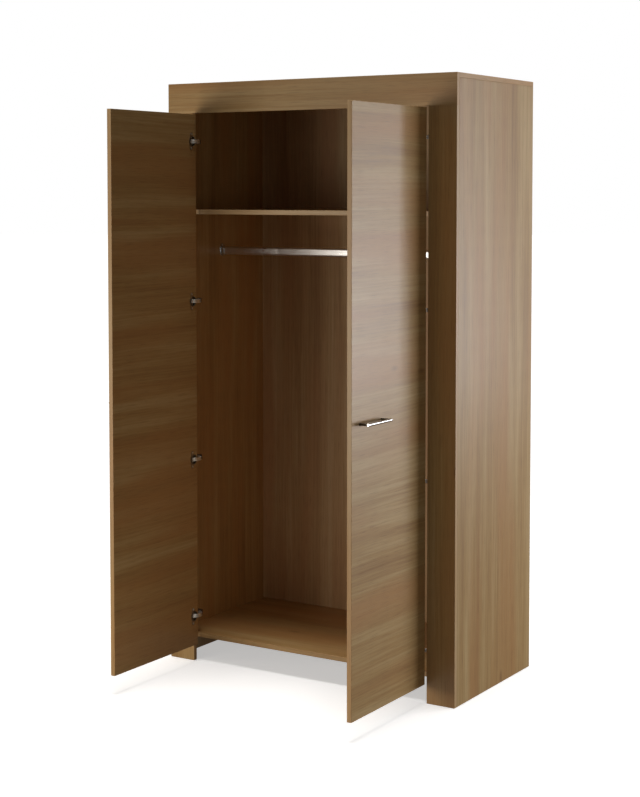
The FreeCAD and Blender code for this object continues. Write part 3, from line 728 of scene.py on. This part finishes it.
rim = wing_rim(around)
fixed = np.ones_like(around)
CUP_ROWS = [
    (0 * fixed, CUP_FLOOR), (0.010 * fixed, CUP_FLOOR), (0.0145 * fixed, CUP_FLOOR + 0.0003),
    (0.0156 * fixed, CUP_FLOOR + 0.0012), (MOUTH * fixed, CUP_FLOOR + 0.003),
    (MOUTH * fixed, LIP - 0.0004), ((MOUTH + 0.0003) * fixed, LIP), (rim - 0.0004, LIP),
    (rim - 0.0001, LIP - 0.0001), (rim, LIP - 0.0005), (rim, 0.0), (CUP_OUT * fixed, 0.0),
    (CUP_OUT * fixed, CUP_UNDER), (0 * fixed, CUP_UNDER),
]
for side, sign in SIDES:
    inner = door_faces[side][0]
    for row, (y, z) in enumerate(cup_places[side], start=1):
        rows = [np.stack([sign * height * fixed, reach * np.cos(around),
                          reach * np.sin(around)], -1) for reach, height in CUP_ROWS]
        grid = np.stack(rows) + (inner, y, z)
        fit(closed_mesh(f"hinge_cup_{side}_{row}_pressed", [grid]), "door_" + side,
            [f"hinge_cup_{side}_{row}"], [nickel_pressing])

# ---- Cup screws and pins ----
# Two zinc-plated wood screws hold each cup by its wings, and a steel pin across the cup carries the
# lever. The pins are plain turned rods, so their CAD nodes stay in view.
CUP_SCREW_BACK = 0.006
CUP_SCREW_UP = 0.024
for side, sign in SIDES:
    inner = door_faces[side][0]
    heads = [driven_head((inner + sign * LIP, y - CUP_SCREW_BACK, z + up), 0, sign,
                         HEAD_RADIUS, HEAD_HIGH)
             for y, z in cup_places[side] for up in (-CUP_SCREW_UP, CUP_SCREW_UP)]
    fit(closed_mesh(f"hinge_cup_screw_heads_{side}", heads), "door_" + side,
        ["hinge_cup_screws_" + side], [zinc_screw])


def dress(node, material):
    """Give a CAD node that stays in view one material all over."""
    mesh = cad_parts[node].data
    mesh.materials.clear()
    mesh.materials.append(material)


for side, _ in SIDES:
    dress("hinge_cup_pins_" + side, nickel_pressing)

# ---- Hinge levers ----
# A strip of pressed steel bent in an arc round the door's edge, with a rolled eye on the cup's pin.
# A shallow groove pressed along the outside stiffens it. It is nickel plated like the cups but
# coloured paler, as a painted highlight for the light it catches.
lever_nickel_painted_highlight = metal("nickel_plated_strip_painted_highlight", "#EFEBE3", 0.45, 700,
                      (1, 1, 1), 0.00003)
LEVER_CENTRE = (-0.457, -0.2811)
LEVER_RADIUS = 0.0261
LEVER_HALF_THICK = 0.0012
LEVER_HALF_WIDE = 0.0062
LEVER_EYE = 0.0034
EYE_BORE = 0.00155
EYE_EDGE = 0.0004
LEVER_START = math.radians(-61.2)
LEVER_SPAN = math.radians(166.4)
LEVER_EDGE = 0.0005
GROOVE_HALF = 0.003
GROOVE_DEEP = 0.0006
END_TAPER = 0.8
corner = np.linspace(0, np.pi / 2, 4)
section = []
for across, along, first in ((1, 1, 0), (-1, 1, 1), (-1, -1, 2), (1, -1, 3)):
    angle = corner + first * np.pi / 2
    section.append(np.stack([
        across * (LEVER_HALF_THICK - LEVER_EDGE) + LEVER_EDGE * np.cos(angle),
        along * (LEVER_HALF_WIDE - LEVER_EDGE) + LEVER_EDGE * np.sin(angle)], -1))
groove_up = np.linspace(-GROOVE_HALF, GROOVE_HALF, 7)
groove_in = GROOVE_DEEP * np.cos(groove_up / GROOVE_HALF * np.pi / 2) ** 2
section = np.concatenate([*section, np.stack([LEVER_HALF_THICK - groove_in, groove_up], -1)])
share = np.concatenate([[0, 0.006], np.linspace(0.02, 0.98, 40), [0.994, 1]])
sweep = LEVER_START + LEVER_SPAN * share
ease = np.ones(len(sweep))
ease[[0, -1]] = END_TAPER


def lever_grids(z):
    """One lever: its section is carried round the arc, and its eye is turned about the pin."""
    loops = []
    for angle, tight in zip(sweep, ease):
        reach = LEVER_RADIUS + section[:, 0] * tight
        loops.append(np.column_stack([LEVER_CENTRE[0] + reach * np.cos(angle),
                                      LEVER_CENTRE[1] + reach * np.sin(angle),
                                      z + section[:, 1] * tight]))
    pin = (LEVER_CENTRE[0] + LEVER_RADIUS * math.cos(LEVER_START),
           LEVER_CENTRE[1] + LEVER_RADIUS * math.sin(LEVER_START), z)
    half = LEVER_HALF_WIDE
    eye = [(-half, EYE_BORE), (-half, LEVER_EYE - EYE_EDGE), (-half + EYE_EDGE, LEVER_EYE),
           (half - EYE_EDGE, LEVER_EYE), (half, LEVER_EYE - EYE_EDGE), (half, EYE_BORE),
           (-half, EYE_BORE)]
    return [capped(loops), turned(eye, pin, 2, 32)]


for side, sign in SIDES:
    grids = [grid * (sign, 1, 1) for _, z in cup_places[side] for grid in lever_grids(z)]
    fit(closed_mesh(f"hinge_levers_{side}_pressed", grids), "hinge_levers_" + side,
        ["hinge_levers_" + side], [lever_nickel_painted_highlight])

# ---- Hinge arms ----
# A channel pressed from 1.2 mm steel, open towards the post, which clips over the mounting plate.
# Two adjusting screws with cross-slotted heads show on its back.
ARM_WALL = 0.0012
ARM_BEND = 0.0024
ARM_END_ROUND = 0.0003
ARM_SCREWS_AT = (0.012, 0.038)
ARM_SCREW_RADIUS = 0.0038
ARM_SCREW_HIGH = 0.0011


def bent_path(low, high, depth, bend):
    """The rounded bottom corners of a path down one side and up the other: the left one from the
    side to the bottom, the right one from the bottom to the side."""
    angle = np.linspace(0, np.pi / 2, 6)
    sine, cosine = bend * np.sin(angle), bend * np.cos(angle)
    left = np.stack([low + bend - cosine, depth - bend + sine], -1)
    right = np.stack([high - bend + sine, depth - bend + cosine], -1)
    return left, right


def arm_grids(low, high):
    """The channel between two corners of its box, its closed end wall and its two screws."""
    middle = (low.z + high.z) / 2
    half = (high.z - low.z) / 2
    depth = high.y - low.y
    paths = []
    for back in (0, ARM_WALL):
        bend = ARM_BEND - back
        left, right = bent_path(-half + back, half - back, depth - back, bend)
        paths.append(np.concatenate([[(0, -half + back)], left[:, ::-1], right[::-1, ::-1],
                                     [(0, half - back)]]))
    grids = channel_grids(paths[0], paths[1], 0, high.x - low.x, 0, (low.x, low.y, middle))
    wall = block_grids((low.x, low.y, middle - half + ARM_WALL / 2),
                       (low.x + ARM_WALL, high.y - ARM_WALL / 2, middle + half - ARM_WALL / 2),
                       ARM_END_ROUND, 1)
    screws = [driven_head((low.x + ahead, high.y, middle), 1, 1, ARM_SCREW_RADIUS, ARM_SCREW_HIGH)
              for ahead in ARM_SCREWS_AT]
    return grids + wall + screws


for side, sign in SIDES:
    for row in (1, 2, 3, 4):
        name = f"hinge_arm_{side}_{row}"
        low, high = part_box(name)
        if sign < 0:
            low.x, high.x = -high.x, -low.x
        grids = [grid * (sign, 1, 1) for grid in arm_grids(low, high)]
        fit(closed_mesh(name + "_pressed", grids), "carcass",
            [name], [nickel_pressing])

# ---- Mounting plates ----
# Cast plates screwed to the back of the posts, each with a raised rib that the arm clips over.
# Two screws hold each one.
cast_nickel = metal("nickel_plated_zinc_cast", "#B4B0A8", 0.32, 600, (1, 1, 1), 0.00004)
post_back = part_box("front_post_left")[1].y
BASE_THICK = 0.002
BASE_ROUND = 0.0006
RIB_ROUND = 0.001
PLATE_HALF_WIDE = 0.011
PLATE_END = 0.014
PLATE_SCREW_UP = 0.016
RIB_LONG = 0.014
RIB_HIGH = 0.012
RIB_HALF = 0.0065
plate_screws = []
for side, sign in SIDES:
    low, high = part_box("hinge_plates_" + side)
    outer_x = low.x if sign > 0 else -high.x
    grids = []
    for _, z in cup_places[side]:
        upright = obround(PLATE_HALF_WIDE, -PLATE_END, PLATE_END)
        middle_x = outer_x + PLATE_HALF_WIDE
        foot = pressed_plate(upright[::-1, ::-1], BASE_THICK, BASE_ROUND,
                             (middle_x, post_back, z), 1)
        rib_x = outer_x + ARM_WALL
        rib = block_grids(
            (rib_x, post_back + BASE_THICK / 2, z - RIB_HALF),
            (rib_x + RIB_LONG, post_back + BASE_THICK + RIB_HIGH, z + RIB_HALF), RIB_ROUND)
        grids += [grid * (sign, 1, 1) for grid in (foot, *rib)]
        plate_screws += [driven_head((sign * middle_x, post_back + BASE_THICK, z + up),
                                     1, 1, HEAD_RADIUS, HEAD_HIGH)
                         for up in (-PLATE_SCREW_UP, PLATE_SCREW_UP)]
    fit(closed_mesh(f"hinge_plates_{side}_cast", grids), "carcass",
        ["hinge_plates_" + side], [cast_nickel])
fit(closed_mesh("hinge_plate_screw_heads", plate_screws), "carcass",
    ["hinge_plate_screws"], [zinc_screw])

# ---- Bar handles ----
# A solid 10 mm bar on two turned legs, polished and plated. Screws from the inside of the door run
# into the legs, and small decor discs cover their heads.
handle_bright = metal("handle_bar_polished_plated", "#DAD8D4", 0.16, 900,
                      (1, 0.04, 1), 0.00002)
BAR_EDGE = 0.0009
for side, _ in SIDES:
    low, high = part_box("handle_bar_" + side)
    centre = (low + high) / 2
    radius = (high.z - low.z) / 2
    half = (high.y - low.y) / 2
    turn_in = np.linspace(0, np.pi / 2, 6)
    far = np.stack([half - BAR_EDGE + BAR_EDGE * np.sin(turn_in),
                    radius - BAR_EDGE + BAR_EDGE * np.cos(turn_in)], -1)
    profile = np.concatenate([[(-half, 0)], far[::-1] * (-1, 1), far, [(half, 0)]])
    fit(closed_mesh(f"handle_bar_{side}_turned", [turned(profile, centre, 1, 64)]), "door_" + side,
        ["handle_bar_" + side], [handle_bright])

# The legs are turned steel with a small round foot. Their plating is coloured darker than the bar as
# painted shade, which stands in for the dark door they reflect.
handle_leg_painted_shade = metal("handle_leg_turned_painted_shade", "#5A544B", 0.3, 900,
                    (0.2, 1, 1), 0.00003)
LEG_RADIUS = 0.004
LEG_FOOT = 0.0048
LEG_START = 0.002
FOOT_HIGH = 0.002
for side, sign in SIDES:
    bar_low, bar_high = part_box("handle_bar_" + side)
    bar = (bar_low + bar_high) / 2
    low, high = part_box("handle_legs_" + side)
    face = door_faces[side][1]
    run = abs(face - bar.x)
    profile = [(LEG_START, 0), (LEG_START, LEG_RADIUS), (run - FOOT_HIGH - 0.001, LEG_RADIUS),
               (run - FOOT_HIGH - 0.0002, LEG_RADIUS + 0.0002),
               (run - FOOT_HIGH, LEG_FOOT - 0.0002), (run - FOOT_HIGH + 0.0004, LEG_FOOT),
               (run - 0.0002, LEG_FOOT), (run, LEG_FOOT - 0.0002), (run, 0)]
    legs = [turned([(sign * at, reach) for at, reach in profile], (bar.x, y, bar.z), 0)
            for y in (low.y + LEG_RADIUS, high.y - LEG_RADIUS)]
    fit(closed_mesh(f"handle_legs_{side}_turned", legs), "door_" + side,
        ["handle_legs_" + side], [handle_leg_painted_shade])
    dress("handle_screws_" + side, zinc_screw)

CAP_THICK = 0.0005
CAP_RADIUS = 0.007
CAP_EDGE = 0.0003
for side, sign in SIDES:
    low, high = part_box("handle_screw_caps_" + side)
    inner = door_faces[side][0]
    profile = [(0, 0), (0, CAP_RADIUS), (CAP_EDGE, CAP_RADIUS), (CAP_THICK, CAP_RADIUS - CAP_EDGE),
               (CAP_THICK, 0)]
    middle_z = (low.z + high.z) / 2
    caps = [turned([(sign * at, reach) for at, reach in profile], (inner, y, middle_z), 0)
            for y in (low.y + CAP_RADIUS, high.y - CAP_RADIUS)]
    mesh = closed_mesh(f"handle_screw_caps_{side}_punched", caps)
    lay_decor(mesh, low, high, ALONG_Y, DOOR_SHEET)
    mesh.polygons.foreach_set("material_index", np.zeros(len(mesh.polygons), np.int32))
    fit(mesh, "door_" + side, ["handle_screw_caps_" + side], [oak_melamine])

# ---- Joint fittings inside the boards ----
# Fluted beech dowels, steel cam bolts and cast zinc cams pull the boards together. Only the cams'
# faces show, under the bottom panel and the shelf and inside the ends.
cast_zinc = metal("zinc_alloy_die_cast", "#A3A5A7", 0.42, 800, (1, 1, 1), 0.00005)
beech, tree, shader = finish_of("beech_dowel_turned", {"Roughness": 0.6})
coordinates = add(tree, "ShaderNodeTexCoord").outputs["Object"]
# The flutes are about 1.4 mm apart and show as paler and darker lines.
flute_place = add(tree, "ShaderNodeMapping",
                  inputs={"Vector": coordinates, "Scale": (60, 700, 700)})
flutes = add(tree, "ShaderNodeTexNoise",
             inputs={"Vector": flute_place.outputs[0], "Scale": 1.0, "Detail": 2.0})
beech_colour = add(tree, "ShaderNodeValToRGB",
                   {"stops": [(0.3, linear("#C89A6C")), (0.7, linear("#DDB78C"))]},
                   {"Fac": flutes.outputs["Fac"]})
tree.links.new(beech_colour.outputs["Color"], shader.inputs["Base Color"])
dress("dowels", beech)
dress("cam_bolts", zinc_screw)
dress("cam_discs", cast_zinc)

# ---- Back nails ----
# Short flat-headed steel nails through the thin back into the edges of the boards, blank and a
# little dull.
nail_steel = metal("bright_steel_nail_drawn", "#9C9A96", 0.38, 1200, (1, 1, 1), 0.00003)
dress("back_nails", nail_steel)
